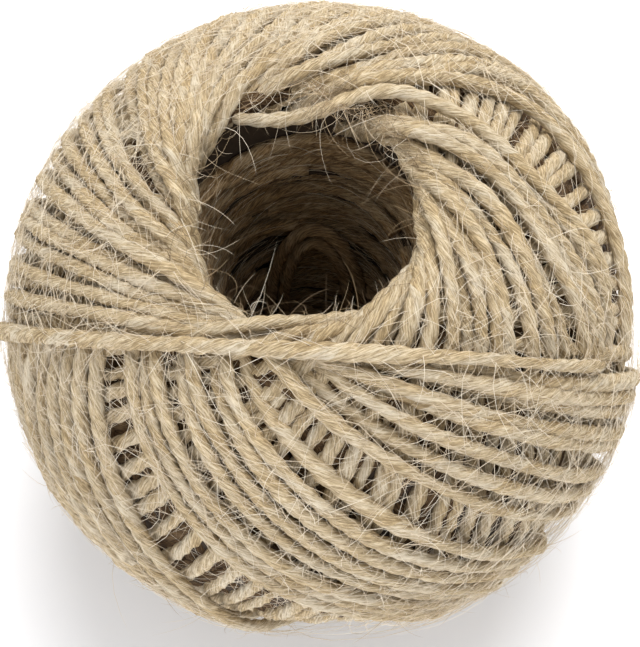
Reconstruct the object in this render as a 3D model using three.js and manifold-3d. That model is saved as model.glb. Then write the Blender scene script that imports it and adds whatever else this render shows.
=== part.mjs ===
// A ball of jute twine, machine wound round an open centre, standing on its small flat spot.
// Millimetres, +Z up, flat spot on z = 0, the ball's axis through x = y = 0.
import * as THREE from 'three';
import Module from 'manifold-3d';
import { mergeVertices } from 'three/addons/utils/BufferGeometryUtils.js';

const TWINE = 2; // diameter of the twine
const BALL_RADIUS = 40; // over the outermost turns
const FLAT_RADIUS = 12.5; // of the spot that the ball rests on
const RIM_WIDTH = 1.2; // from a turn's nearest point to the axis out to where its ridge runs out
const FOOT_RADIUS = 15; // where the turns run in under the ball
const HOLE_X = -2; // the hole's centre line, a little off the ball's

// Every turn is a loop round the ball. Its plane leans by TURN_TILT degrees from the ball's axis, and
// the planes step round the axis, turn after turn.
const TURN_TILT = 22;
const NEWEST_HEADING = 87.5; // heading of the newest turn's plane, degrees from +X
const NEWEST_START = -168; // the newest turn as a strand, in degrees of travel past its highest point
const NEWEST_END = 58.5;
const NEWEST_LIFT = -0.2; // of its middle, over the crowns of the turns below it
const NEWEST_KEEL = 1.7; // how much deeper it fills in between those turns than a round strand would

// Turns in the order in which they lie, newest first: how many, and degrees from each to the next,
// for the halves that rise to the hole and for those that fall away from it.
const RISING = [
  { turns: 6, pitch: 5.4 },
  { turns: 20, pitch: 6.2 },
  { turns: 1, pitch: 41.0 },
  { turns: 25, pitch: 6.4 },
];
const FALLING = [
  { turns: 4, pitch: 4.5 },
  { turns: 1, pitch: 7.0 },
  { turns: 2, pitch: 4.0 },
  { turns: 1, pitch: 9.0 },
  { turns: 8, pitch: 4.3 },
  { turns: 1, pitch: 18.0 },
  { turns: 11, pitch: 5.5 },
  { turns: 26, pitch: 8.0 },
];

// By how many degrees a turn's plane misses the ball's centre: degrees back from the newest, miss.
const MISS = [
  [0, 4.0],
  [40, 3.8],
  [88, 3.5],
  [120, 4.4],
  [157, 5.5],
  [198, 0.5],
  [267, -2.5],
  [330, -1.8],
  [360, 4.0],
];

// How far a turn leans over near the hole before it takes up its heading: degrees back, degrees of lean.
const RISING_LEAN = [
  [60, 0],
  [157, 15],
  [198, -20],
  [260, -6],
  [300, 0],
];
const FALLING_LEAN = [
  [0, 0],
  [20, 5],
  [34, 16],
  [42, 24],
  [60, 40],
  [76, 50],
  [94, 40],
  [120, 38],
  [170, 30],
  [280, 0],
];
const RISING_EASES = { from: 20, to: 65 }; // degrees of travel from the hole over which the lean goes
const FALLING_EASES = { from: 25, to: 90 };

const OPEN_PITCH = 8.5; // turns farther apart than this leave a flat gap between them
const CROWN = 0.28; // half width of a turn's top, as a share of the twine
const GAP_FOOT = 0.75; // from a turn's middle to the floor of a gap beside it, as a share of the twine
const VALLEY_DEPTH = 0.5; // between neighbouring turns, as a share of the twine
const GAP_DEPTH = 1.4; // between turns that lie apart, as a share of the twine
const LAYER_DEPTH = 0.85; // from the turns on top to those that cross below, as a share of the twine

// Towards the hole and the flat spot the turns close up, and the valleys between them fade out.
const FADE_TRAVEL = { starts: 6, full: 34, eases: 140, ends: 172 };

// The hole from its mouth to its floor: height above the flat spot, radius.
const HOLE = [
  { height: 84.0, radius: 21.0 },
  { height: 76.2, radius: 16.8 },
  { height: 74.8, radius: 15.6 },
  { height: 72.8, radius: 14.7 },
  { height: 70.0, radius: 14.2 },
  { height: 66.0, radius: 13.8 },
  { height: 52.0, radius: 12.8 },
  { height: 34.0, radius: 11.4 },
  { height: 18.0, radius: 9.6 },
];
const LID = { share: 0.55, rise: 4.2 }; // the round form closes over the hole before the hole is cut
const UNDERSIDE = { share: 0.8, drop: 1 }; // and below the flat spot before that is cut
const PARTING_OVERLAP = 0.15; // of the two families of turns along the newest turn
const HOLE_FLOOR_DISH = 1;
const HOLE_WAVE = 0.4; // the turns stand out of the wall by this much each way
const HOLE_WAVE_PITCH = 4.6; // height from one ridge of the wall to the next
const WALL_STARTS = 66; // height where the wall of stacked turns starts, below the rounded rim
const HOLE_SIDES = 26;
const ROWS = 13; // points along half a turn
const STRAND_SIDES = 6;
const STRAND_STEPS = 36;

const rad = THREE.MathUtils.degToRad;
const smooth = THREE.MathUtils.smoothstep;
const centreHeight = Math.sqrt(BALL_RADIUS ** 2 - FLAT_RADIUS ** 2);

const wasm = await Module();
wasm.setup();

// Rises from 0 to 1 between starts and full, and falls back to 0 between eases and ends.
function hump(x, { starts, full, eases, ends }) {
  return smooth(x, starts, full) - smooth(x, eases, ends);
}

// The value of a table of [place, value] rows at x, straight between rows and level beyond them.
function between(rows, x) {
  const next = rows.findIndex(([place]) => place > x);
  if (next < 1) return rows[next ? rows.length - 1 : 0][1];
  const [[x0, y0], [x1, y1]] = rows.slice(next - 1, next + 1);
  return THREE.MathUtils.mapLinear(x, x0, x1, y0, y1);
}

// Direction from the ball's centre to a point of the turn that lies `back` degrees before the newest,
// `travel` degrees past that turn's highest point.
function onTurn(back, travel) {
  const [lean, eases] = travel > 0 ? [FALLING_LEAN, FALLING_EASES] : [RISING_LEAN, RISING_EASES];
  const leaning = between(lean, back) * (1 - smooth(Math.abs(travel), eases.from, eases.to));
  const heading = rad(NEWEST_HEADING - back - leaning);
  const across = new THREE.Vector3(Math.cos(heading), Math.sin(heading), 0);
  const along = new THREE.Vector3(Math.sin(heading), -Math.cos(heading), 0);
  const up = new THREE.Vector3(0, 0, 1);
  const tilt = rad(TURN_TILT);
  const normal = across.clone().multiplyScalar(Math.cos(tilt)).addScaledVector(up, Math.sin(tilt));
  const top = up.clone().multiplyScalar(Math.cos(tilt)).addScaledVector(across, -Math.sin(tilt));
  const miss = rad(between(MISS, back));
  return top
    .multiplyScalar(Math.cos(miss) * Math.cos(rad(travel)))
    .addScaledVector(along, Math.cos(miss) * Math.sin(rad(travel)))
    .addScaledVector(normal, -Math.sin(miss));
}

// Travel at which a turn is a given distance from the ball's axis, above its middle or below it.
function travelAt(back, radius, half) {
  const miss = rad(between(MISS, back));
  const tilt = rad(TURN_TILT);
  const z = half * Math.sqrt(1 - (radius / BALL_RADIUS) ** 2);
  const share = (z + Math.sin(miss) * Math.sin(tilt)) / (Math.cos(miss) * Math.cos(tilt));
  return THREE.MathUtils.radToDeg(Math.acos(share));
}

// The point on the ball in a given direction, `height` outside its surface.
function onBall(direction, height) {
  const p = direction.clone().multiplyScalar(BALL_RADIUS + height);
  p.z += centreHeight;
  return p;
}

// Lines that follow the turns round the ball: two at the shoulders of each turn's crown,
// and one in each valley between turns, or two along the floor of a wide gap.
function lines(lay) {
  const total = lay.reduce((sum, row) => sum + row.turns * row.pitch, 0);
  const crown = THREE.MathUtils.radToDeg((CROWN * TWINE) / BALL_RADIUS);
  const foot = THREE.MathUtils.radToDeg((GAP_FOOT * TWINE) / BALL_RADIUS);
  const found = [];
  let back = 0;
  for (const { turns, pitch } of lay) {
    const step = (pitch * 360) / total;
    for (let i = 0; i < turns; i += 1) {
      found.push({ back: back - crown, drop: 0 }, { back: back + crown, drop: 0 });
      if (pitch > OPEN_PITCH) {
        found.push({ back: back + foot, drop: GAP_DEPTH }, { back: back + step - foot, drop: GAP_DEPTH });
      } else {
        found.push({ back: back + step / 2, drop: VALLEY_DEPTH });
      }
      back += step;
    }
  }
  return found;
}

// A closed surface from rings of points, the first round the top and the last round the bottom,
// with one middle point above and one below. All rings have the same number of points.
function closedRings(rings, top, bottom) {
  const count = rings[0].length;
  const points = [top, ...rings.flat(), bottom];
  const last = points.length - 1;
  const at = (ring, i) => 1 + ring * count + (i % count);
  const faces = [];
  for (let i = 0; i < count; i += 1) {
    faces.push(0, at(0, i), at(0, i + 1));
    for (let ring = 0; ring + 1 < rings.length; ring += 1) {
      faces.push(at(ring, i), at(ring + 1, i), at(ring + 1, i + 1));
      faces.push(at(ring, i), at(ring + 1, i + 1), at(ring, i + 1));
    }
    faces.push(last, at(rings.length - 1, i + 1), at(rings.length - 1, i));
  }
  return solid(points, faces);
}

// A solid from points and triangles. A surface that was listed inside out is turned over.
function solid(points, faces) {
  const vertProperties = Float32Array.from(points.flatMap((p) => [p.x, p.y, p.z]));
  const made = (triVerts) =>
    new wasm.Manifold(new wasm.Mesh({ numProp: 3, vertProperties, triVerts: Uint32Array.from(triVerts) }));
  const first = made(faces);
  return first.volume() > 0 ? first : made(faces.slice().reverse());
}

// The whole ball with the ridges of one half of every turn, lowered by `depth`: `side` is 1 for the
// halves that fall away from the hole's rim and -1 for the halves that rise to it.
function woundBall(side, depth) {
  const ridges = lines(side > 0 ? FALLING : RISING).map(({ back, drop }) => {
    const miss = between(MISS, back);
    const rim = BALL_RADIUS * Math.sin(rad(TURN_TILT + miss)) + RIM_WIDTH;
    const foot = Math.max(FOOT_RADIUS, BALL_RADIUS * Math.sin(rad(TURN_TILT - miss)) + RIM_WIDTH);
    return { back, drop, start: travelAt(back, rim, 1), end: travelAt(back, foot, -1) };
  });
  const rings = [];
  for (let row = 0; row <= ROWS; row += 1) {
    rings.push(
      ridges.map(({ back, drop, start, end }) => {
        const travel = start + ((end - start) * row) / ROWS;
        const height = -depth - drop * TWINE * hump(travel, FADE_TRAVEL);
        return onBall(onTurn(back, side * travel), height);
      }),
    );
  }
  const lid = rings[0].map((p) => new THREE.Vector3(p.x * LID.share, p.y * LID.share, p.z + LID.rise));
  const under = rings[ROWS].map(
    (p) => new THREE.Vector3(p.x * UNDERSIDE.share, p.y * UNDERSIDE.share, -UNDERSIDE.drop),
  );
  const top = new THREE.Vector3(0, 0, lid[0].z);
  const bottom = new THREE.Vector3(0, 0, -UNDERSIDE.drop);
  return closedRings([lid, ...rings, under], top, bottom);
}

// The newest turn as a round strand laid over the others, its end cut square.
function newestStrand() {
  const rings = [];
  const middle = (travel) => onBall(onTurn(0, travel), NEWEST_LIFT);
  for (let step = 0; step <= STRAND_STEPS; step += 1) {
    const travel = NEWEST_START + ((NEWEST_END - NEWEST_START) * step) / STRAND_STEPS;
    const out = onTurn(0, travel);
    const ahead = onTurn(0, travel + 1).sub(onTurn(0, travel - 1)).normalize();
    const beside = new THREE.Vector3().crossVectors(out, ahead).normalize();
    const ring = [];
    for (let i = 0; i < STRAND_SIDES; i += 1) {
      const turn = (2 * Math.PI * (i + 0.5)) / STRAND_SIDES;
      const height = Math.cos(turn) * (Math.cos(turn) < 0 ? NEWEST_KEEL : 1);
      ring.push(
        middle(travel)
          .addScaledVector(out, 0.5 * TWINE * height)
          .addScaledVector(beside, 0.5 * TWINE * Math.sin(turn)),
      );
    }
    rings.push(ring);
  }
  return closedRings(rings, middle(NEWEST_START), middle(NEWEST_END));
}

// The open centre: rings down the hole's profile, wavy where the stacked turns show in its wall.
function openCentre() {
  const levels = [];
  const straight = HOLE.findIndex(({ height }) => height <= WALL_STARTS);
  for (const { height, radius } of HOLE.slice(0, straight)) {
    levels.push({ height, radius });
  }
  const depth = HOLE[straight].height - HOLE[HOLE.length - 1].height;
  const steps = 2 * Math.round(depth / HOLE_WAVE_PITCH);
  for (let step = 0; step <= steps; step += 1) {
    const height = HOLE[straight].height - (depth * step) / steps;
    const below = HOLE.findIndex((row, i) => i > straight && row.height <= height + 1e-6);
    const from = HOLE[below - 1];
    const to = HOLE[below];
    const share = (from.height - height) / (from.height - to.height);
    const plain = THREE.MathUtils.lerp(from.radius, to.radius, share);
    levels.push({ height, radius: plain + (step % 2 ? HOLE_WAVE : -HOLE_WAVE) });
  }
  const rings = levels.map(({ height, radius }) =>
    Array.from({ length: HOLE_SIDES }, (_, i) => {
      const turn = (2 * Math.PI * i) / HOLE_SIDES;
      return new THREE.Vector3(HOLE_X + radius * Math.cos(turn), radius * Math.sin(turn), height);
    }),
  );
  const floor = HOLE[HOLE.length - 1].height;
  return closedRings(
    rings,
    new THREE.Vector3(HOLE_X, 0, HOLE[0].height),
    new THREE.Vector3(HOLE_X, 0, floor - HOLE_FLOOR_DISH),
  );
}

// A large block whose face lies on a plane: the plane's direction, and its distance from the origin.
function blockBeyond(direction, distance) {
  const size = 6 * BALL_RADIUS;
  const box = new THREE.BoxGeometry(size, size, size);
  box.deleteAttribute('normal');
  box.deleteAttribute('uv');
  const block = mergeVertices(box);
  const turn = new THREE.Quaternion().setFromUnitVectors(new THREE.Vector3(0, 0, 1), direction);
  block.translate(0, 0, distance + size / 2).applyQuaternion(turn);
  const place = block.getAttribute('position');
  const corner = (_, i) => new THREE.Vector3().fromBufferAttribute(place, i);
  return solid(Array.from({ length: place.count }, corner), Array.from(block.getIndex().array));
}

// The newest turn's plane parts the ball: on the hole's side of it the rising halves of the turns lie
// on top, and on the other side the falling halves do.
const tilt = rad(TURN_TILT);
const heading = rad(NEWEST_HEADING);
const partingNormal = new THREE.Vector3(
  Math.cos(heading) * Math.cos(tilt),
  Math.sin(heading) * Math.cos(tilt),
  Math.sin(tilt),
);
const parting = centreHeight * partingNormal.z - BALL_RADIUS * Math.sin(rad(MISS[0][1]));
const partingBack = partingNormal.clone().negate();
const holeSide = blockBeyond(partingNormal, parting - PARTING_OVERLAP);
const otherSide = blockBeyond(partingBack, -parting - PARTING_OVERLAP);
const below = LAYER_DEPTH * TWINE;
const wound = woundBall(-1, 0)
  .intersect(holeSide)
  .add(woundBall(1, below).intersect(holeSide))
  .add(woundBall(1, 0).intersect(otherSide))
  .add(woundBall(-1, below).intersect(otherSide))
  .add(newestStrand())
  .subtract(openCentre())
  .intersect(blockBeyond(new THREE.Vector3(0, 0, 1), 0));

const mesh = wound.getMesh();
const geometry = new THREE.BufferGeometry();
geometry.setAttribute('position', new THREE.BufferAttribute(mesh.vertProperties, 3));
geometry.setIndex(new THREE.BufferAttribute(mesh.triVerts, 1));
geometry.computeVertexNormals();

const jute = new THREE.MeshStandardMaterial({ color: 0xbda884, roughness: 0.95, metalness: 0 });
const ball = new THREE.Mesh(geometry, jute);
ball.name = 'ball';

const group = new THREE.Group();
group.add(ball);

export default group;
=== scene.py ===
# %% [markdown]
# # A ball of jute twine
# One length of hairy two-ply twine, wound in crossing turns round an open centre.
# The measured model is loaded first as a fixed frame. Everything made here is in the same
# place and at the same size, in metres, with +Z up and the ball's flat spot on z = 0.

# %% Load the frame
import math

import bpy
import numpy as np
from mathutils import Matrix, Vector


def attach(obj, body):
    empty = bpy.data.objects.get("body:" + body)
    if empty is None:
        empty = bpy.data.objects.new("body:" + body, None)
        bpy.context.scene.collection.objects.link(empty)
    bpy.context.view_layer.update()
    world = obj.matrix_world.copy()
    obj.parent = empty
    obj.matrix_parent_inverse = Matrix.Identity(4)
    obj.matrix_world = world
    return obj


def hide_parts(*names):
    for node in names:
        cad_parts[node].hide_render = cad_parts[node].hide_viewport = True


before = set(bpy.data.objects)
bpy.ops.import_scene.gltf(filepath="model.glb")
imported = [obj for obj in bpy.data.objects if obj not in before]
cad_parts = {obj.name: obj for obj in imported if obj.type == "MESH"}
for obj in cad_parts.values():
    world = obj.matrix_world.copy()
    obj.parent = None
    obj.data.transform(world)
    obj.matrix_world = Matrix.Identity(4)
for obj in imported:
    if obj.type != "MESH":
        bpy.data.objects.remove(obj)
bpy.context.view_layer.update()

# %% [markdown]
# ## Units and colours
# Shapes are worked out in millimetres, as a maker measures, and turned into metres when a mesh is
# made. Colours are given as sRGB hex values, as a colour picker shows them. Blender's shaders want
# linear light, so one function turns the one into the other.

# %% Units and colours
MM = 0.001  # metres in a millimetre
METRE = 1000  # millimetres in a metre


def linear(hex_colour):
    """sRGB hex to linear RGBA: c / 12.92 up to 0.04045, else ((c + 0.055) / 1.055) to the power 2.4."""
    c = np.array([int(hex_colour[i:i + 2], 16) for i in (1, 3, 5)]) / 255
    lin = np.where(c <= 0.04045, c / 12.92, ((c + 0.055) / 1.055) ** 2.4)
    return (*lin.tolist(), 1.0)


print(f"middle grey #808080 is {linear('#808080')[0]:.3f} in linear light")

# %% [markdown]
# ## Camera
# The ball is seen from high in front, so that the far wall of its hole shows. A long lens from about
# half a metre keeps the outline nearly round. The focal length could be tried until it fits, but it
# follows from how large the ball is in the picture: its outline is a cone that just touches the ball.

# %% Camera
IMAGE = (640, 647)
BALL_RADIUS = 40.0  # mm, as all lengths here are if nothing else is said
FLAT_RADIUS = 12.5
CENTRE = np.array([0, 0, math.sqrt(BALL_RADIUS ** 2 - FLAT_RADIUS ** 2)])
ELEVATION = math.radians(69)
DISTANCE = 450.0
OUTLINE_PX = 319.6  # radius of the ball's outline in the picture
BALL_AT_PX = (322.3, 320.8)  # its middle, from the top left
SENSOR = 36

scene = bpy.context.scene
camera_data = bpy.data.cameras.new("camera")
camera_data.sensor_fit = "HORIZONTAL"
camera_data.sensor_width = SENSOR
focal_px = OUTLINE_PX / math.tan(math.asin(BALL_RADIUS / DISTANCE))
camera_data.lens = SENSOR * focal_px / IMAGE[0]
camera_data.shift_x = (IMAGE[0] / 2 - BALL_AT_PX[0]) / IMAGE[0]
camera_data.shift_y = (BALL_AT_PX[1] - IMAGE[1] / 2) / IMAGE[0]
camera_data.clip_start = 0.01
camera = bpy.data.objects.new("camera", camera_data)
away = np.array([0, -math.cos(ELEVATION), math.sin(ELEVATION)])
camera.location = (CENTRE + DISTANCE * away) * MM
camera.rotation_euler = (math.pi / 2 - ELEVATION, 0, 0)
scene.collection.objects.link(camera)
scene.camera = camera
print(f"camera: {camera_data.lens:.1f} mm lens at {[round(v, 4) for v in camera.location]}")

# %% [markdown]
# ## Floor
# The ball stands on plain white paper. A plane from Blender's own menu would do for that, and a mesh
# could also be built vertex by vertex. A ball of twine has half a million of them, so a helper puts
# whole arrays in at once with foreach_set, and the floor is its first and smallest use.

# %% Mesh from arrays
def make_piece(name, points, faces, uv=None, tone=None):
    """Mesh object from points in mm and arrays of corners: each array has one width, 3 or 4."""
    mesh = bpy.data.meshes.new(name)
    corners = np.concatenate([f.ravel() for f in faces]).astype(np.int32)
    sizes = np.concatenate([np.full(len(f), f.shape[1]) for f in faces])
    mesh.vertices.add(len(points))
    mesh.vertices.foreach_set("co", (points * MM).astype(np.float32).ravel())
    mesh.loops.add(len(corners))
    mesh.loops.foreach_set("vertex_index", corners)
    mesh.polygons.add(len(sizes))
    mesh.polygons.foreach_set("loop_start", (np.cumsum(sizes) - sizes).astype(np.int32))
    mesh.polygons.foreach_set("use_smooth", np.ones(len(sizes), bool))
    if uv is not None:
        layer = mesh.uv_layers.new(name="along")
        layer.data.foreach_set("uv", uv.astype(np.float32).ravel())
    if tone is not None:
        attribute = mesh.attributes.new("tone", "FLOAT", "POINT")
        attribute.data.foreach_set("value", tone.astype(np.float32))
    mesh.update(calc_edges=True)
    piece = bpy.data.objects.new(name, mesh)
    bpy.context.scene.collection.objects.link(piece)
    print(f"{name}: {len(points)} points, {int((sizes - 2).sum())} triangles")
    return piece


FLOOR_HALF = 1500.0
floor_points = FLOOR_HALF * np.array([[-1, -1, 0], [1, -1, 0], [1, 1, 0], [-1, 1, 0]])
floor = make_piece("floor", floor_points, [np.array([[0, 1, 2, 3]])])

# %% Paper
# Uncoated white paper: no shine, so it shows only the ball's soft shadow.
paper = bpy.data.materials.new("white_paper")
paper.use_nodes = True
paper.node_tree.nodes["Principled BSDF"].inputs["Base Color"].default_value = linear("#f6f5f3")
paper.node_tree.nodes["Principled BSDF"].inputs["Roughness"].default_value = 0.9
floor.data.materials.append(paper)
print("floor:", floor.data.materials[0].name)

# %% [markdown]
# ## Light
# A broad soft lamp stands above and behind, which makes the top of the ball the brightest. A second one,
# low in front, lights the turns that face the viewer, and a white sky fills the shadows, as the walls of
# a white room would. A sun would cut hard shadows between the strands, so both lamps are wide discs.

# %% Light
sky = bpy.data.worlds.new("white_sky")
sky.use_nodes = True
sky.node_tree.nodes["Background"].inputs["Color"].default_value = linear("#fbfcff")
sky.node_tree.nodes["Background"].inputs["Strength"].default_value = 0.85
scene.world = sky
scene.view_settings.view_transform = "Standard"


def soft_lamp(name, place, size, energy, colour):
    """A round area lamp at a place in metres, turned to face the ball."""
    lamp_data = bpy.data.lights.new(name, "AREA")
    lamp_data.shape = "DISK"
    lamp_data.size = size
    lamp_data.energy = energy
    lamp_data.color = linear(colour)[:3]
    lamp = bpy.data.objects.new(name, lamp_data)
    lamp.location = place
    lamp.rotation_euler = (Vector(CENTRE * MM) - lamp.location).to_track_quat("-Z", "Y").to_euler()
    scene.collection.objects.link(lamp)
    print(f"{name}: {size} m across, {energy} W")


soft_lamp("lamp_above", (0.12, 0.55, 1.0), 0.9, 16.5, "#fcfcff")
soft_lamp("lamp_in_front", (-0.15, -0.95, 0.06), 0.8, 11.5, "#ecf0ff")

# %% [markdown]
# ## Soft steps and smooth noise
# Twine never turns a sharp corner, so one rule of the winding is blended into the next by a soft step.
# Nothing about twine is even either: it is thick and thin, twisted hard and slack, and laid a little to
# each side. Fresh random numbers for each sample would make it rough, so they are blurred first.

# %% Soft steps
def smoothstep(x, low, high):
    """0 below low, 1 above high, and 3 s^2 - 2 s^3 of the share s in between."""
    s = np.clip((np.asarray(x, float) - low) / (high - low), 0, 1)
    return s * s * (3 - 2 * s)


def hump(x, starts, full, eases, ends):
    """Rises from 0 to 1 between starts and full, and falls back to 0 between eases and ends."""
    return smoothstep(x, starts, full) - smoothstep(x, eases, ends)


def unit(v):
    """Each row divided by its length."""
    return v / np.linalg.norm(v, axis=-1, keepdims=True)


print("a soft step at its quarters:", smoothstep([0, 0.25, 0.5, 0.75, 1], 0, 1).round(3).tolist())

# %% Smooth noise
def blurred(values, width):
    """Running mean of a row of values with Gaussian weights; width is the standard deviation in samples."""
    reach = int(3 * width) + 1
    weights = np.exp(-0.5 * (np.arange(-reach, reach + 1) / width) ** 2)
    padded = np.pad(values, reach, mode="edge")
    return np.convolve(padded, weights / weights.sum(), mode="valid")


def wander(count, spacing, wavelength, rng):
    """A smooth random line about 0 with standard deviation 1: blurred noise of that wavelength in mm.

    The noise is made longer than the line and its ends are cut off, because a blur is wild at its ends.
    """
    margin = int(wavelength / spacing) + 1
    line = blurred(rng.standard_normal(count + 2 * margin), wavelength / spacing / 4)[margin:-margin]
    return line / line.std()


print("a single 1, blurred by one sample:", blurred(np.array([0, 0, 0, 1, 0, 0, 0]), 1).round(2).tolist())

# %% [markdown]
# ## The lay of the turns
# A winding machine lays each turn as a loop round the ball that just misses the hole, and turns the
# ball a little between loops. So a turn is a circle whose plane leans from the ball's axis, and its
# heading steps back by a few degrees for each older turn. Here and there the machine made a larger
# step, which leaves a gap. The twine also slips as it is laid, most of all near the hole, so tables
# give how far each turn leans from its heading at some places on its way up and down.

# %% Lay of the turns
TWINE = 2.0  # mm across
TURN_TILT = 22.0  # degrees from the ball's axis to a turn's plane
NEWEST_HEADING = 87.5  # degrees round the axis
NEWEST_END = 58.5  # degrees of travel past the newest turn's highest point where the twine is cut
RISING = [(9, 3.65), (27, 4.6), (1, 41.0), (29, 5.55)]  # turns, degrees of heading from each to the next
FALLING = [(5, 3.6), (1, 7.0), (2, 4.0), (1, 9.0), (7, 4.1), (1, 34.0), (7, 8.0), (42, 5.0)]
ARRIVING = {  # degrees of travel before a turn's highest point: its heading back, and how far it leans there
    0: [[0, 0.2], [18, 1.9], [33, 14.7], [47, 19], [65, 24], [72, 22], [79, 14], [84, 9], [93, 4], [111, 3],
        [121, -3], [129, 0], [138, 8], [148, 13], [157, 20], [198, -4], [242, 1], [357, 4]],
    20: [[60, 0], [93, 0], [121, 5], [138, 8], [157, 7], [198, -19], [260, -6], [300, 0]],
    35: [[60, 0], [121, 5], [157, 2.5], [198, -5.5], [260, -3], [300, 0]],
    56: [[60, 0], [153, -2], [157, 3], [198, -2.5], [260, -2], [300, 0]],
    64: [[60, 0], [153, 2], [157, 19], [198, 2], [260, 0]],
    76: [[60, 0], [153, 7], [157, 42], [198, 5], [260, 0]],
    130: [[60, 0], [153, 11], [157, 30], [198, 5], [260, 0]],
}
LEAVING = {  # the same, after the highest point
    25: [[0, 0.5], [20, 5], [34, 16], [42, 24], [60, 40], [75, 52], [99, 29], [110, 25], [120, 18],
         [135, 8], [150, 0]],
    47: [[0, 2.0], [20, 3], [34, 10], [42, 16], [60, 30], [75, 42], [99, 20], [120, 18], [140, 8], [160, 0]],
}
UNDER_BALL = (-162, -90)  # places, negative after the highest point, where a falling half has its own heading
MISS = np.array([  # heading back, and by how many degrees the turn's plane misses the ball's centre
    [0, 4.0], [40, 3.8], [93, 3.8], [111, 4.5], [121, 6.5], [129, 7.5], [138, 5.0], [148, 3.2], [157, 3.0],
    [198, 0.5], [267, -2.5], [357, -1.8]])
rising_turns, falling_turns = sum(row[0] for row in RISING), sum(row[0] for row in FALLING)
print("steps between turns:", rising_turns, "rising and", falling_turns, "falling")

# %% [markdown]
# ## The path of the twine
# The whole path is one array, counted back in degrees of travel from the twine's cut end. Heading and
# miss are worked out for each sample by interpolation between the turns, and a formula gives the
# direction from the ball's centre. A curve object could hold such a path too, but arrays make it easy
# to ask later how much room each turn has.

# %% Headings along the path
STEP = 0.85  # mm between samples
rng = np.random.default_rng(11)


def headings(lay):
    """How far back each turn's heading is: the running sum of the steps, with a little unevenness."""
    steps = np.repeat([row[1] for row in lay], [row[0] for row in lay])
    sums = np.concatenate([[0], np.cumsum(steps)])
    return sums + rng.uniform(-0.6, 0.6, len(sums)) * (sums > 0)


per_turn = round(2 * math.pi * BALL_RADIUS / STEP)
rising, falling = headings(RISING), headings(FALLING)
turn_count = len(rising) - 1
arriving = [rising + np.interp(rising, *np.transpose(lean)) for lean in ARRIVING.values()]
leaving = [falling + np.interp(falling, *np.transpose(lean)) for lean in LEAVING.values()]
places = np.array([*UNDER_BALL, *(-place for place in reversed(LEAVING)), *ARRIVING]) / 360
knots = (np.arange(turn_count + 1)[:, None] + places).ravel()
knot_backs = np.stack([falling, falling, *leaving[::-1], *arriving], -1).ravel()
count = int(per_turn * (turn_count - 0.5))
travelled = np.arange(count) * 360 / per_turn
turn_at = (travelled - NEWEST_END) / 360
travel = NEWEST_END - travelled
back = blurred(np.interp(turn_at, knots, knot_backs), 4 / STEP)
print(f"path: {turn_count} turns, {count} samples, {count * STEP / METRE:.1f} m of twine")

# %% Unevenness of the lay
turn_miss = np.interp(rising, MISS[:, 0], MISS[:, 1])
turn_miss = turn_miss + rng.uniform(-1, 1, turn_count + 1) * np.minimum(np.arange(turn_count + 1) / 3, 1)
miss = np.interp(turn_at, np.arange(turn_count + 1), turn_miss)
uneven = 0.35 * wander(count, STEP, 70, rng) + 0.12 * wander(count, STEP, 18, rng)
back = back + uneven * smoothstep(turn_at, -0.1, 1)
print(f"planes miss the centre by {miss.min():.1f} to {miss.max():.1f} degrees")

# %% Directions
def turn_direction(back, travel, tilt, miss):
    """Unit vectors from the ball's centre to points of the turns.

    A turn's circle has the normal (cos a cos t, sin a cos t, sin t) for heading a and tilt t. Its highest
    point is at travel 0, it runs round the hole with the hole on its left, and it is moved off the centre
    by miss degrees against its normal.
    """
    a, s = np.radians(NEWEST_HEADING - back), np.radians(travel)
    t, m = np.radians(tilt), np.radians(miss)
    normal = np.stack([np.cos(a) * np.cos(t), np.sin(a) * np.cos(t), np.sin(t) + 0 * a], -1)
    top = np.stack([-np.cos(a) * np.sin(t), -np.sin(a) * np.sin(t), np.cos(t) + 0 * a], -1)
    along = np.stack([np.sin(a), -np.cos(a), 0 * a], -1)
    m, s = m[..., None], s[..., None]
    return np.cos(m) * (np.cos(s) * top + np.sin(s) * along) - np.sin(m) * normal


direction = turn_direction(back, travel, TURN_TILT, miss)
print(f"the turns come within {np.degrees(np.arccos(direction[:, 2].max())):.1f} degrees of the axis")

# %% [markdown]
# ## Layers
# The plane of the newest turn parts the ball in two. On the hole's side the rising halves of the turns
# lie on top, and on the other side the falling halves do, because those are the ones laid last there.
# The rest pass underneath, one twine's width lower. A physics simulation could find this, but the rule
# is simple enough to write down.

# %% Which half lies on top
round_travel = np.mod(travel + 180, 360) - 180
newest = np.radians([NEWEST_HEADING, TURN_TILT, MISS[0, 1]])
newest_normal = np.array([
    math.cos(newest[0]) * math.cos(newest[1]), math.sin(newest[0]) * math.cos(newest[1]), math.sin(newest[1])])
beyond = BALL_RADIUS * (direction @ newest_normal + math.sin(newest[2]))
hole_side = smoothstep(beyond, -2.5, 2.5)
is_falling = hump(round_travel, -8, 8, 172, 188) + (1 - smoothstep(round_travel, -188, -172))
on_top = hole_side * (1 - is_falling) + (1 - hole_side) * is_falling
turn_number = np.clip(np.round(turn_at), 0, turn_count).astype(int)
on_top[turn_number == 0] = 1
print(f"on top: {100 * on_top.mean():.0f} % of the path")

# %% [markdown]
# ## Room beside each turn
# Towards the hole the turns draw together until they have no room side by side. There every second one
# sinks, then every second of the rest, and so on. How often a turn's number can be halved says in which
# round it sinks, so those that stay on top are evenly spaced. Sorting out each crossing would do it
# too, with far more code.

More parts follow.
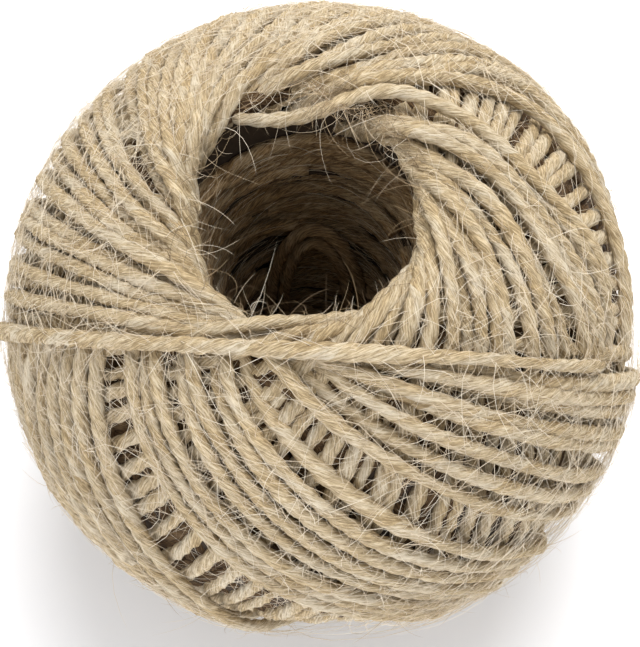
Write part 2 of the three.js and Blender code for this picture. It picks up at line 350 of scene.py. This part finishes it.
# %% Heights
LAYER = 2.0  # mm from one layer to the next
CROWDED, ROOMY = 1.15, 1.95  # mm between neighbours: a turn sinks below the first and lies free above the second
NEWEST_LIFT = 0.9  # mm by which the newest turns stand proud
halvings = np.log2(np.maximum(turn_number & -turn_number, 1))
older, younger = np.interp(turn_at + 0.5, knots, knot_backs), np.interp(turn_at - 0.5, knots, knot_backs)
step_back = np.radians(older - younger)
from_axis = direction[:, 0] ** 2 + direction[:, 1] ** 2
cap = np.sin(np.radians(TURN_TILT + miss)) ** 2
room = BALL_RADIUS * np.abs(step_back) * np.sqrt(np.clip(from_axis - cap, 0, None))
sink = (1 - smoothstep(room * 2.0 ** halvings, CROWDED, ROOMY)) * (turn_number > 0)

lift = NEWEST_LIFT * np.exp(-np.maximum(turn_at, 0) / 1.5)
height = lift - LAYER * (1 - on_top) - 0.9 * LAYER * sink
height = blurred(height, 3.0 / STEP)
height = height + 0.12 * wander(count, STEP, 30, rng)
print(f"heights: {height.min():.2f} to {height.max():.2f} mm, {100 * np.mean(height > -0.6):.0f} % on top")

# %% [markdown]
# ## Twine as a twisted pair
# Two-ply twine has a waist between its two plies, and the plies climb round each other once in about
# five millimetres. A round tube with a bump map would lose that outline. Here the section is the
# outline of two overlapping circles, carried along the path and turned as it goes, so the mesh lines
# follow the plies.

# %% Twine section
PLY_RADIUS = 0.81
PLY_OFFSET = 0.19
TWIST_PITCH = 5.2  # mm for a full twist
FIBRE_SHEAR = 0.6  # how far the fibres lean across a ply, in girths for each full twist
SIDES = 8


def section(angle):
    """Outline of two circles of radius p set c to each side: c |cos| + sqrt(p^2 - c^2 sin^2)."""
    return PLY_OFFSET * np.abs(np.cos(angle)) + np.sqrt(PLY_RADIUS ** 2 - (PLY_OFFSET * np.sin(angle)) ** 2)


def lengths(path):
    """Length along a path up to each of its points."""
    return np.concatenate([[0], np.cumsum(np.linalg.norm(np.diff(path, axis=0), axis=1))])


print(f"twine: {2 * section(0.0):.2f} mm across both plies, {2 * section(np.pi / 2):.2f} mm at the waist")

# %% Twine along a path
def twine(path, outward, thickness, s, pitch=TWIST_PITCH):
    """Points, faces, caps and loop UVs of twine along a path, with closed ends.

    Each point is path + r(x) (cos(x + w) n + sin(x + w) b), with n the outward normal made square to the
    path, b square to both, x the angle round the section and w = -2 pi s / pitch after a length of s.
    """
    n = len(path)
    ahead = unit(np.gradient(path, axis=0))
    normal = unit(outward - (outward * ahead).sum(-1, keepdims=True) * ahead)
    beside = np.cross(ahead, normal)
    x = np.arange(SIDES) * 2 * np.pi / SIDES
    turned = x[None, :] - 2 * np.pi * s[:, None] / pitch
    r = section(x)[None, :] * thickness[:, None]
    ring = (r * np.cos(turned))[..., None] * normal[:, None] + (r * np.sin(turned))[..., None] * beside[:, None]
    points = np.concatenate([(path[:, None] + ring).reshape(-1, 3), path[:1], path[-1:]])
    i, j = np.meshgrid(np.arange(n - 1), np.arange(SIDES), indexing="ij")
    k = (j + 1) % SIDES
    quads = np.stack([i * SIDES + j, i * SIDES + k, (i + 1) * SIDES + k, (i + 1) * SIDES + j], -1).reshape(-1, 4)
    e = np.arange(SIDES)
    f = (e + 1) % SIDES
    first = np.stack([np.full(SIDES, n * SIDES), f, e], -1)
    last = np.stack([np.full(SIDES, n * SIDES + 1), (n - 1) * SIDES + e, (n - 1) * SIDES + f], -1)
    u = np.stack([s[i], s[i], s[i + 1], s[i + 1]], -1) / METRE
    v = np.stack([j, j + 1, j + 1, j], -1) / SIDES - FIBRE_SHEAR * METRE * u / TWIST_PITCH
    uv = np.concatenate([
        np.stack([u, v], -1).reshape(-1, 2),
        np.tile([s[0] / METRE, 0.5], (3 * SIDES, 1)),
        np.tile([s[-1] / METRE, 0.5], (3 * SIDES, 1)),
    ])
    return points, quads, np.concatenate([first, last]), uv


def twine_piece(name, strands):
    """Several strands as one piece, with the corner numbers of each moved past those before it."""
    offsets = np.cumsum([0] + [len(s[0]) for s in strands[:-1]])
    points = np.concatenate([s[0] for s in strands])
    quads = np.concatenate([s[1] + o for s, o in zip(strands, offsets)])
    caps = np.concatenate([s[2] + o for s, o in zip(strands, offsets)])
    sides = np.concatenate([s[3][:4 * len(s[1])] for s in strands])
    ends = np.concatenate([s[3][4 * len(s[1]):] for s in strands])
    return make_piece(name, points, [quads, caps], np.concatenate([sides, ends]))


print(f"a metre of twine takes {int(METRE / STEP) * SIDES * 2} triangles")

# %% [markdown]
# ## The wound turns
# These are the turns that are seen. A ball with a relief could show ridges, but not strands that cross
# over each other, so the twine itself is laid. It follows the ball, rolls over the rim into the hole,
# and is pressed flat where the ball stands. Halves that pass below at the far rim are tucked down and
# outwards, under the ones that lie on top. The path is then cut into even steps again, so that the
# twist is even too.

# %% Place of the turns
HOLE_X = -2.0
RIM_DIP = ([11.5, 13.0, 14.5, 17.0], [5.0, 2.0, 0.6, 0.0])  # mm from the hole's axis, mm lower
DIP_BELOW = ([11.5, 13.0, 15.0, 18.0], [7.0, 3.5, 1.4, 0.0])  # the same for turns that pass below
TUCK_REACH = ([20.0, 23.5], [1.0, 0.0])  # mm from the hole's axis, share of the tuck
TUCK_BEARING = (48, 64, 150, 170)  # degrees round the hole
TUCK_DOWN, TUCK_OUT = 9.0, 0.25
REST = 1.05  # mm from the ground to the middle of the lowest turns
SETTLE = 0.375  # mm over which a turn eases onto the ground

path = CENTRE + (BALL_RADIUS - 0.5 * TWINE + height)[:, None] * direction
from_hole = np.hypot(path[:, 0] - HOLE_X, path[:, 1])
below = 1 - blurred(on_top, 4 / STEP)
bearing = np.degrees(np.arctan2(path[:, 1], path[:, 0] - HOLE_X))
upper = path[:, 2] > CENTRE[2]
tuck = upper * below * np.interp(from_hole, *TUCK_REACH) * hump(bearing, *TUCK_BEARING)
dip = (1 - below) * np.interp(from_hole, *RIM_DIP) + below * np.interp(from_hole, *DIP_BELOW)
path[:, 2] -= dip * upper + TUCK_DOWN * tuck
path[:, :2] *= 1 + TUCK_OUT * tuck[:, None]
# The flat spot: the soft maximum c log(1 + e^(h/c)) of the height h above the rest and nothing.
rest = REST - height
low = path[:, 2] - rest
pressed = SETTLE * np.log1p(np.exp(np.clip(low / SETTLE, -40, 40)))
path[:, 2] = rest + np.where(low > 4 * SETTLE, low, pressed)
print(f"placed: {path[:, 2].min():.2f} to {path[:, 2].max():.2f} mm above the ground")

# %% Thickness and even steps
SLACK = 1.6  # mm by which the twist runs ahead or lags behind
CUT_END = 6  # samples in which the cut end grows to full thickness
thickness = 1 + 0.09 * wander(count, STEP, 25, rng) + 0.06 * wander(count, STEP, 6, rng)
thickness[:CUT_END] *= np.linspace(0.9, 1.0, CUT_END)
thickness = thickness * (1 + 0.04 * below)

length = lengths(path)
even = np.arange(0, length[-1], STEP)
path = np.stack([np.interp(even, length, path[:, i]) for i in range(3)], -1)
direction = unit(np.stack([np.interp(even, length, direction[:, i]) for i in range(3)], -1))
height, thickness = np.interp(even, length, height), np.interp(even, length, thickness)
count = len(even)
twisted = even + SLACK * wander(count, STEP, 45, rng)
print(f"even steps: {count}, thickness {thickness.min():.2f} to {thickness.max():.2f} of the usual")

# %% Wound turns
runs = np.linspace(0, count, 4).astype(int)
turn_pieces = []
for name, first, last in zip(("newest_turns", "middle_turns", "oldest_turns"), runs[:-1], runs[1:]):
    part = slice(first, min(last + 1, count))
    turn_pieces.append(twine_piece(name, [twine(path[part], direction[part], thickness[part], twisted[part])]))

# %% [markdown]
# ## Turns one layer down
# Where the outer turns lie apart, older ones show in the gaps. A dark ball could stand for them, but its
# smooth skin would show. They are the same loops, evenly spaced, with a coarser mesh because only
# slivers of them are seen.

# %% Turns below
BELOW_COUNT, BELOW_DEPTH, BELOW_STEP = 80, 3.95, 2.3  # turns, mm under the ball's round, mm between samples
BELOW_TILT, BELOW_PITCH, BELOW_LOWEST = 32.0, 15.0, 4.2  # degrees, mm for a full twist, mm above the ground
samples = round(BELOW_COUNT * 2 * math.pi * BALL_RADIUS / BELOW_STEP)
below_travel = np.linspace(-65, 360 * BELOW_COUNT - 65, samples)
below_back = below_travel / BELOW_COUNT + 2.5 * wander(samples, BELOW_STEP, 160, rng)
below_direction = turn_direction(below_back, below_travel, BELOW_TILT, wander(samples, BELOW_STEP, 300, rng))
below_height = BALL_RADIUS - BELOW_DEPTH + 0.2 * wander(samples, BELOW_STEP, 40, rng)
below_path = CENTRE + below_height[:, None] * below_direction
below_path[:, 2] = np.maximum(below_path[:, 2], BELOW_LOWEST)
below_strand = twine(below_path, below_direction, np.full(samples, 1.1), lengths(below_path), BELOW_PITCH)
below_piece = twine_piece("turns_below", [below_strand])

# %% [markdown]
# ## The wall of the hole
# Inside, the older turns pass the hole one above the other, so the wall is a stack of nearly level
# arcs. A tube with a pattern would look like a pipe, so each is made as a slightly tilted ring of twine,
# and the rings narrow towards the floor. The highest ones lean least, so that none sticks out over the rim.

# %% Rings of the wall
WALL = np.array([  # height above the ground and radius of the hole, from the rim down
    [71.0, 15.8], [66.0, 14.0], [52.0, 12.8], [34.0, 11.4], [18.0, 9.6], [15.0, 6.0]])
RING_COUNT, RING_TOP, RING_SPAN = 34, 61.0, 43.5
RING_HIGHEST = 64.5  # mm above the ground that no ring passes
FLOOR_BELOW = 42  # mm above the ground: lower rings belong to the floor's turns
wall_strands, floor_strands = [], []
for k in range(RING_COUNT):
    level = RING_TOP - RING_SPAN * k / (RING_COUNT - 1) + rng.uniform(-1.5, 1.5)
    around = np.radians(np.arange(0, 352, 4.0) + rng.uniform(0, 360))
    radius = np.interp(level, WALL[::-1, 0], WALL[::-1, 1]) + 1.1 + rng.uniform(-1.0, 1.2)
    lean = min(math.tan(math.radians(rng.uniform(4, 24))), (RING_HIGHEST - level) / radius)
    radius = radius + 0.4 * wander(len(around), 0.9, 14, rng)
    z = level + lean * radius * np.cos(around - rng.uniform(0, 2 * np.pi))
    ring_path = np.stack([HOLE_X + radius * np.cos(around), radius * np.sin(around), z], -1)
    inward = -np.stack([np.cos(around), np.sin(around), 0 * around], -1)
    ring_thickness = np.full(len(around), rng.uniform(0.75, 1.1))
    strands = wall_strands if level > FLOOR_BELOW else floor_strands
    strands.append(twine(ring_path, inward, ring_thickness, 90 * k + lengths(ring_path)))
print(f"rings: {len(wall_strands)} in the wall and {len(floor_strands)} by the floor")

# %% [markdown]
# ## The arched turn
# Low in the hole two turns stand up against the far wall as an arch, where twine was pulled from the
# middle. Points could be set by hand, but half an ellipse in x and z, laid onto the wall's radius in y,
# gives the same arch in a few lines and can't leave the wall.

# %% Arched turn
ARCH_MIDDLE, ARCH_HALF_WIDTH, ARCH_FOOT, ARCH_RISE = -0.7, 6.1, 23.0, 19.0
for inset, deeper in ((0.0, 1.3), (1.8, 1.6)):
    sweep = np.linspace(-0.25, np.pi + 0.25, 60)
    x = ARCH_MIDDLE - (ARCH_HALF_WIDTH - inset) * np.cos(sweep)
    z = ARCH_FOOT + (ARCH_RISE - 1.6 * inset) * np.sin(sweep)
    arch_radius = np.interp(z, WALL[::-1, 0], WALL[::-1, 1])
    y = np.sqrt(arch_radius ** 2 - (x - HOLE_X) ** 2) - deeper
    arch_path = np.stack([x, y, z], -1)
    inward = np.stack([HOLE_X - x, -y, 0 * x], -1)
    floor_strands.append(twine(arch_path, inward, np.full(len(x), 0.95), 90 * inset + lengths(arch_path)))
wall_piece = twine_piece("hole_wall_turns", wall_strands)
floor_piece = twine_piece("hole_floor_turns", floor_strands)

# %% [markdown]
# ## The loose turn
# One turn has slipped. It hangs across the far rim of the hole and then runs down the right of the ball,
# along the edge of a gap. It keeps to no circle, so it is a short list of points, joined by straight
# lines and blurred into a smooth path. Its left end goes in under other turns and is made thin there.

# %% Loose turn
LOOSE = np.array([  # mm from the ball's centre
    [-14.1, 17.4, 27.0], [-12.0, 14.8, 30.0], [-9.8, 13.4, 31.7], [-5.6, 12.8, 32.5], [-1.5, 13.1, 33.4],
    [2.1, 14.4, 34.5], [5.6, 15.5, 35.3], [9.1, 15.6, 35.5], [12.4, 14.6, 35.0], [16.1, 13.3, 33.9],
    [18.9, 11.7, 32.8], [21.3, 9.9, 31.9], [23.9, 7.5, 30.7], [26.9, 5.1, 28.6], [30.0, 3.1, 25.6],
    [32.6, 0.8, 22.5], [33.8, -1.5, 20.0], [34.2, -4.3, 17.6], [33.8, -7.3, 15.0]])
loose_at = np.linspace(0, len(LOOSE) - 1, 110)
loose_rows = [blurred(np.interp(loose_at, np.arange(len(LOOSE)), row), 3) for row in LOOSE.T]
loose_path = CENTRE + np.stack(loose_rows, -1)
loose_thickness = np.interp(loose_at, [0, 1.5, 3.0], [0.4, 0.75, 1.0])
loose_strand = twine(loose_path, loose_path - CENTRE, loose_thickness, 400 + lengths(loose_path))
turn_pieces.append(twine_piece("loose_turn", [loose_strand]))

# %% [markdown]
# ## What lies behind
# Deeper turns only show as darkness between the outer ones. More twine would be true to the real ball and
# cost a million faces that nobody sees. So one closed form stands for it: a profile turned round the
# axis, round outside, flat under, and dished round the hole, which is a little off the middle.

# %% Core
CORE = np.array([  # radius and height of the profile, from the middle of the flat spot round to the floor
    [0.0, 3.4], [9.0, 3.6], [14.0, 4.7], [20.7, 8.2], [27.8, 14.4], [33.1, 22.4], [36.0, 30.9], [36.8, 38.0],
    [36.0, 45.2], [33.2, 53.4], [28.4, 60.8], [22.8, 64.8], [20.2, 65.4], [18.4, 64.8], [16.6, 62.0],
    [14.4, 52.0], [13.0, 34.0], [11.2, 18.0], [9.0, 14.4], [0.0, 14.0],
])
COLUMNS = 96
core_turn = np.arange(COLUMNS) * 2 * np.pi / COLUMNS
core_at = np.linspace(0, len(CORE) - 1, 90)[1:-1]
core_radius = np.interp(core_at, np.arange(len(CORE)), CORE[:, 0])[:, None]
core_height = np.interp(core_at, np.arange(len(CORE)), CORE[:, 1])[:, None]
shift = HOLE_X * smoothstep(core_at, 11.5, 13)[:, None]
grid = np.stack([
    core_radius * np.cos(core_turn) + shift, core_radius * np.sin(core_turn), core_height + 0 * core_turn], -1)
poles = [[0, 0, CORE[0, 1]], [HOLE_X, 0, CORE[-1, 1]]]
row_starts = (np.arange(len(core_at) - 1) * COLUMNS)[:, None]
here = np.arange(COLUMNS)
beside_it = (here + 1) % COLUMNS
quads = np.stack([
    row_starts + here, row_starts + beside_it,
    row_starts + COLUMNS + beside_it, row_starts + COLUMNS + here], -1).reshape(-1, 4)
last_row = row_starts[-1, 0] + COLUMNS
under_pole = last_row + COLUMNS
under = np.stack([np.full(COLUMNS, under_pole), beside_it, here], -1)
hole_floor = np.stack([np.full(COLUMNS, under_pole + 1), last_row + here, last_row + beside_it], -1)
core_piece = make_piece(
    "inner_turns", np.concatenate([grid.reshape(-1, 3), poles]), [quads, np.concatenate([under, hole_floor])])

# %% [markdown]
# ## Loose fibres
# Jute is spun from short, stiff fibres, so ends stick out all over. Blender's hair would draw them, but
# it isn't a mesh and doesn't go into the exported model. So each fibre is a thin three-sided spike, and
# all spikes of a kind are made together as one grid of points.

# %% Spikes
def spikes(line, radius):
    """Points and faces of thin tapered spikes along many lines at once.

    A line has m points. Three corners stand round each of its first m - 1 points, at radius times a share
    that falls from 1 to 0.5, and the last point is the tip.
    """
    n, m = line.shape[:2]
    ahead = unit(line[:, -1] - line[:, 0])
    side = unit(np.cross(ahead, np.array([0.31, 0.52, 0.8])))
    other = np.cross(ahead, side)
    turn = np.arange(3) * 2 * np.pi / 3
    spoke = np.cos(turn)[None, :, None] * side[:, None] + np.sin(turn)[None, :, None] * other[:, None]
    taper = radius[:, None] * np.linspace(1, 0.5, m - 1)
    rings = line[:, :-1, None] + taper[..., None, None] * spoke[:, None]
    points = np.concatenate([rings.reshape(n, -1, 3), line[:, -1:]], axis=1)
    i, j = np.meshgrid(np.arange(m - 2), np.arange(3), indexing="ij")
    k = (j + 1) % 3
    quads = np.stack([3 * i + j, 3 * i + k, 3 * i + 3 + k, 3 * i + 3 + j], -1).reshape(-1, 4)
    end = 3 * (m - 2)
    ends = np.array([[0, 2, 1], [end, end + 1, end + 3], [end + 1, end + 2, end + 3], [end + 2, end, end + 3]])
    base = (3 * (m - 1) + 1) * np.arange(n)[:, None, None]
    return points.reshape(-1, 3), [(base + quads).reshape(-1, 4), (base + ends).reshape(-1, 3)]


def fibre_piece(name, line, radius, tone):
    """Fibres as one piece, kept off the ground, each with a tone of its own from 0, dark, to 1, pale."""
    line[..., 2] = np.maximum(line[..., 2], 0.12)
    points, faces = spikes(line, radius)
    return make_piece(name, points, faces, tone=np.repeat(tone, 3 * line.shape[1] - 2))


straight = np.linspace([0, 0, 0], [5, 0, 0], 6)[None]
print("a fibre of 6 points takes", len(spikes(straight, np.ones(1))[0]), "corners of mesh")

# %% Roots of fibres
rng = np.random.default_rng(23)
fibre_pieces = []


def roots(number, lowest):
    """Random places on turns that are higher than a level: skin point, skin, way ahead, outward, sideways."""
    at = rng.choice(np.flatnonzero(height > lowest), number)
    ahead = unit(np.gradient(path, axis=0))[at] * rng.choice([-1, 1], number)[:, None]
    out = direction[at]
    beside = np.cross(ahead, out)
    turn = rng.uniform(-1.3, 1.3, number)
    skin = np.cos(turn)[:, None] * out + np.sin(turn)[:, None] * beside
    return path[at] + 0.85 * skin, skin, ahead, out, beside


print(f"fibres may grow on {np.mean(height > -2.4):.0%} of the twine")

# %% [markdown]
# ## Fuzz
# The shortest fibres are a millimetre or a few long. They leave the twine nearly along it and bend back
# towards the ball, and they blur the edges of the strands. A straight start and a bend that grows with
# the square of the length are enough for such short curves.

# %% Fuzz
FUZZ = 9000
root, skin, ahead, out, beside = roots(FUZZ, -2.4)
fuzz_length = rng.uniform(1.0, 3.8, FUZZ)[:, None, None]
share = np.linspace(0, 1, 4)[None, :, None]
lifted = np.abs(rng.normal(0, 0.3, FUZZ))[:, None]
sway = rng.normal(0, 0.7, (2, FUZZ, 1))
start = unit(ahead + lifted * skin + sway[0] * beside)[:, None]
bend = (0.6 * sway[1] * beside - 0.15 * out)[:, None]
line = root[:, None] + fuzz_length * (share * start + share ** 2 * bend)
fibre_pieces.append(fibre_piece("fuzz", line, rng.uniform(0.025, 0.04, FUZZ), rng.uniform(0.4, 1, FUZZ)))

# %% [markdown]
# ## Fibres that lie on the ball
# Longer ones lie across several turns in loose curls. A simulation could drop them there. Here each is
# drawn as a flat curl and then drawn back onto the ball's round, where it rises a little in the middle
# and sinks between the strands at its end. None is left across the hole.

# %% Lying fibres
LYING = 7000
root, skin, ahead, out, beside = roots(LYING, -0.8)
angle = rng.normal(0, 1.2, LYING)[:, None]
start = np.cos(angle) * ahead + np.sin(angle) * beside
across = np.cross(out, start)
lying_length = (4 + 12 * rng.random(LYING) ** 2)[:, None, None]
share = np.linspace(0, 1, 6)[None, :, None]
curl, recurl = rng.normal(0, 0.8, (2, LYING, 1))
drawn = share * start[:, None] + share ** 2 * (curl * across)[:, None] + share ** 3 * (recurl * across)[:, None]
line = root[:, None] + lying_length * drawn
arc = rng.uniform(0.0, 1.0, (LYING, 1, 1)) * np.sin(np.pi * 0.8 * share)
arc = arc - rng.uniform(0.0, 1.4, (LYING, 1, 1)) * share
line = CENTRE + unit(line - CENTRE) * (np.linalg.norm(root - CENTRE, axis=1)[:, None, None] + arc)
near_hole = np.hypot(line[..., 0] - HOLE_X, line[..., 1]).min(axis=1) < 15.0
line = line[~(near_hole & (line[:, 0, 2] > CENTRE[2]))]
kept = len(line)
fibre_pieces.append(
    fibre_piece("lying_fibres", line, rng.uniform(0.028, 0.046, kept), rng.uniform(0.55, 1, kept)))

# %% [markdown]
# ## Stray fibres
# A few stand further off the ball and break up its outline against the paper. They are made as the fuzz
# is, only longer and fewer, because long ones everywhere would hide the turns.

# %% Stray fibres
STRAY = 2600
share = np.linspace(0, 1, 5)[None, :, None]
root, skin, ahead, out, beside = roots(STRAY, -0.6)
stray_length = (2.0 + 6.0 * rng.random(STRAY) ** 3)[:, None, None]
sway = rng.normal(0, 0.6, (3, STRAY, 1))
start = unit(ahead + np.abs(sway[0]) * skin + sway[1] * beside)[:, None]
bend = (0.7 * sway[2] * beside - 0.1 * out)[:, None]
line = root[:, None] + stray_length * (share * start + share ** 2 * bend)
fibre_pieces.append(
    fibre_piece("stray_fibres", line, rng.uniform(0.022, 0.04, STRAY), rng.uniform(0.4, 1, STRAY)))

# %% [markdown]
# ## Fibres at the hole
# Against the dark of the hole each fibre shows. Those on the rim reach inwards, rise a little and droop,
# with more of them at the far right, where the turns are rubbed. They are worked out as distance and
# bearing round the hole, and turned into x and y at the end. Those on the wall follow its arcs.

# %% Rim fibres
RIM = 700
rubbed = rng.random(RIM) < 0.3
rim_bearing = np.where(rubbed, rng.normal(1.1, 0.35, RIM), rng.uniform(0, 2 * np.pi, RIM))
rim_radius = rng.uniform(13.5, 18.0, RIM)
rim_length = (2.0 + 8.0 * rng.random(RIM) ** 3)[:, None]
share = np.linspace(0, 1, 9)[None, :]
veer = rng.normal(0, 1.2, RIM)[:, None] + rng.normal(0, 1.8, RIM)[:, None] * share
reach = rim_radius[:, None] - rim_length * share * np.cos(veer)
swing = rim_bearing[:, None] + rim_length * share * np.sin(veer) / 14
droop = (0.9 * share - rng.uniform(0.6, 2.2, RIM)[:, None] * share ** 2) * rim_length * 0.3
rim_height = np.sqrt(BALL_RADIUS ** 2 - rim_radius ** 2)[:, None]
z = droop + rim_height - 2.0 - 0.7 * np.maximum(15 - rim_radius, 0)[:, None]
line = CENTRE + np.stack([HOLE_X + reach * np.cos(swing), reach * np.sin(swing), z], -1)
fibre_pieces.append(fibre_piece("rim_fibres", line, rng.uniform(0.02, 0.036, RIM), rng.random(RIM) ** 1.8))

# %% Wall fibres
ON_WALL = 1500
level = rng.uniform(20, 64, ON_WALL)
wall_bearing = rng.uniform(0, 2 * np.pi, ON_WALL)
wall_radius = np.interp(level, WALL[::-1, 0], WALL[::-1, 1]) - rng.uniform(0.0, 0.8, ON_WALL)
wall_length = rng.uniform(2.5, 9.0, ON_WALL)[:, None]
share = np.linspace(0, 1, 5)[None, :]
slope = rng.normal(0, 0.35, ON_WALL)[:, None]
swing = wall_bearing[:, None] + wall_length * share / wall_radius[:, None]
reach = wall_radius[:, None] - rng.uniform(-0.6, 1.4, ON_WALL)[:, None] * share ** 2
z = level[:, None] + wall_length * (slope * share + rng.normal(0, 0.3, ON_WALL)[:, None] * share ** 2)
line = np.stack([HOLE_X + reach * np.cos(swing), reach * np.sin(swing), z], -1)
fibre_pieces.append(
    fibre_piece("hole_wall_fibres", line, rng.uniform(0.02, 0.04, ON_WALL), rng.random(ON_WALL) ** 1.8))

# %% [markdown]
# ## Shader nodes
# A material is a tree of nodes, which most people draw by hand in the Shader Editor. In a script one
# small function is enough: it adds any kind of node with its settings, its colour stops and its links.

# %% Shader nodes
def add_node(tree, kind, links=None, stops=(), **settings):
    """Adds a node, sets its properties or sockets by name, and links sockets to other nodes' outputs.

    Stops are (position, hex colour) pairs in rising order, for a node that starts with a stop at each end.
    """
    made = tree.nodes.new(kind)
    for key, value in settings.items():
        if hasattr(made, key):
            setattr(made, key, value)
        else:
            made.inputs[key.replace("_", " ")].default_value = value
    for socket, source in (links or {}).items():
        tree.links.new(source, made.inputs[socket])
    for i in (0, -1) if stops else ():
        made.color_ramp.elements[i].position = stops[i][0]
        made.color_ramp.elements[i].color = linear(stops[i][1])
    for position, colour in stops[1:-1]:
        made.color_ramp.elements.new(position).color = linear(colour)
    return made


print("a new material starts with", [made.name for made in paper.node_tree.nodes])

# %% [markdown]
# ## Jute twine
# Jute is a bast fibre: pale straw to brown, dull, with fine streaks along its length. An image would
# repeat and blur, so the streaks are noise, stretched along the twine by the UV map that runs along and
# round it in metres and girths. They colour the twine and raise it a little. A slower noise makes some
# lengths yellower and some greyer. Real fibres are a few hundredths of a millimetre thick, too fine to
# show, so the streaks are drawn as coarse as they need to be seen.

# %% Jute material
STREAK_LENGTH, STREAKS_ROUND = 5 / 3, 26  # mm, and 26 in a girth of 6 mm are 0.2 mm wide: coarser than fibres
PATCH_LENGTH, PATCHES_ROUND = 50 / 3, 2.0  # mm, and two in the girth
STREAK_RELIEF = 0.0005  # metres


def jute(name, dark, middle, pale):
    """Twisted jute twine: streaks of fibre along the plies and slow changes of colour along the length."""
    material = bpy.data.materials.new(name)
    material.use_nodes = True
    tree = material.node_tree
    shader = tree.nodes["Principled BSDF"]
    uv = add_node(tree, "ShaderNodeUVMap", uv_map="along").outputs["UV"]
    fine = add_node(tree, "ShaderNodeMapping", {"Vector": uv}, Scale=(METRE / STREAK_LENGTH, STREAKS_ROUND, 1))
    streak = add_node(
        tree, "ShaderNodeTexNoise", {"Vector": fine.outputs["Vector"]}, Scale=1.0, Detail=5.0, Roughness=0.7)
    slow = add_node(tree, "ShaderNodeMapping", {"Vector": uv}, Scale=(METRE / PATCH_LENGTH, PATCHES_ROUND, 1))
    patch = add_node(tree, "ShaderNodeTexNoise", {"Vector": slow.outputs["Vector"]}, Scale=1.0, Detail=2.0)
    mixed = add_node(tree, "ShaderNodeMix", {"A": streak.outputs["Fac"], "B": patch.outputs["Fac"]}, Factor=0.25)
    ramp = add_node(
        tree, "ShaderNodeValToRGB", {"Fac": mixed.outputs["Result"]}, [(0.42, dark), (0.5, middle), (0.58, pale)])
    tint = add_node(
        tree, "ShaderNodeValToRGB", {"Fac": patch.outputs["Fac"]}, [(0.36, "#fef6e4"), (0.64, "#f7f6f4")])
    tinted = add_node(
        tree, "ShaderNodeVectorMath", {0: ramp.outputs["Color"], 1: tint.outputs["Color"]}, operation="MULTIPLY")
    bump = add_node(
        tree, "ShaderNodeBump", {"Height": streak.outputs["Fac"]}, Strength=1.0, Distance=STREAK_RELIEF)
    tree.links.new(tinted.outputs["Vector"], shader.inputs["Base Color"])
    tree.links.new(bump.outputs["Normal"], shader.inputs["Normal"])
    shader.inputs["Roughness"].default_value = 0.85
    shader.inputs["Specular IOR Level"].default_value = 0.25
    print(f"{name}: {len(tree.nodes)} nodes")
    return material


# Natural jute, spun and twisted dry: straw-coloured streaks and a dull surface with hardly a highlight.
outer_jute = jute("jute_twine", "#9d8b6d", "#cab796", "#e6d9be")

# %% Jute on the turns
for piece in turn_pieces:
    piece.data.materials.append(outer_jute)
# The same twine with painted shade: darker, browner colours than the outer turns, so that gaps and the hole look
# deep.
below_piece.data.materials.append(jute("jute_twine_below_painted_shade", "#38291a", "#543f27", "#735c3f"))
# The turns inside the hole carry painted shade too: darker, browner copies of the outer twine's colours, so that
# the hole looks deep.
floor_piece.data.materials.append(jute("jute_twine_on_the_floor_painted_shade", "#7b6348", "#ab8e69", "#cdb48f"))
wall_piece.data.materials.append(jute("jute_twine_in_the_hole_painted_shade", "#725b40", "#a98b64", "#cdb48d"))

# %% [markdown]
# ## Single fibres and the shadow behind
# A single fibre is too thin for a pattern, so each one has its own tone, kept in the mesh as an
# attribute, and a ramp turns tones into colours. The form behind the turns is nearly black-brown with
# a coarse mottle, because it stands for the darkness between strands.

# %% Fibre material
# Dry jute fibre, smoother than the twine: pale hairs that catch the light, with some brown ones.
fibre_jute = bpy.data.materials.new("jute_fibre")
fibre_jute.use_nodes = True
tree = fibre_jute.node_tree
tone = add_node(tree, "ShaderNodeAttribute", attribute_name="tone")
tones = [(0.0, "#5f4a30"), (0.4, "#bfa57d"), (1.0, "#f1e6cf")]
ramp = add_node(tree, "ShaderNodeValToRGB", {"Fac": tone.outputs["Fac"]}, tones)
tree.links.new(ramp.outputs["Color"], tree.nodes["Principled BSDF"].inputs["Base Color"])
tree.nodes["Principled BSDF"].inputs["Roughness"].default_value = 0.6
for piece in fibre_pieces:
    piece.data.materials.append(fibre_jute)
print("jute_fibre on", len(fibre_pieces), "pieces")

# %% Core material
# Packed jute in deep shade: a dark mottle without shine, which reads as depth.
MOTTLE = 10 / 7  # mm, a little under a twine's width
core_jute = bpy.data.materials.new("jute_in_shadow")
core_jute.use_nodes = True
tree = core_jute.node_tree
place = add_node(tree, "ShaderNodeTexCoord")
mottle = add_node(
    tree, "ShaderNodeTexNoise", {"Vector": place.outputs["Object"]}, Scale=METRE / MOTTLE, Detail=3.0)
ramp = add_node(
    tree, "ShaderNodeValToRGB", {"Fac": mottle.outputs["Fac"]}, [(0.0, "#20170e"), (1.0, "#463727")])
tree.links.new(ramp.outputs["Color"], tree.nodes["Principled BSDF"].inputs["Base Color"])
tree.nodes["Principled BSDF"].inputs["Roughness"].default_value = 0.95
core_piece.data.materials.append(core_jute)
print("jute_in_shadow on", core_piece.name)

# %% [markdown]
# ## Hand over
# Every piece belongs to the ball, which has one body, and the measured ball is hidden.

# %% Hand over
pieces = [*turn_pieces, below_piece, wall_piece, floor_piece, core_piece, *fibre_pieces]
for piece in pieces:
    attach(piece, "root")
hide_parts("ball")
print(f"{len(pieces)} pieces handed over")
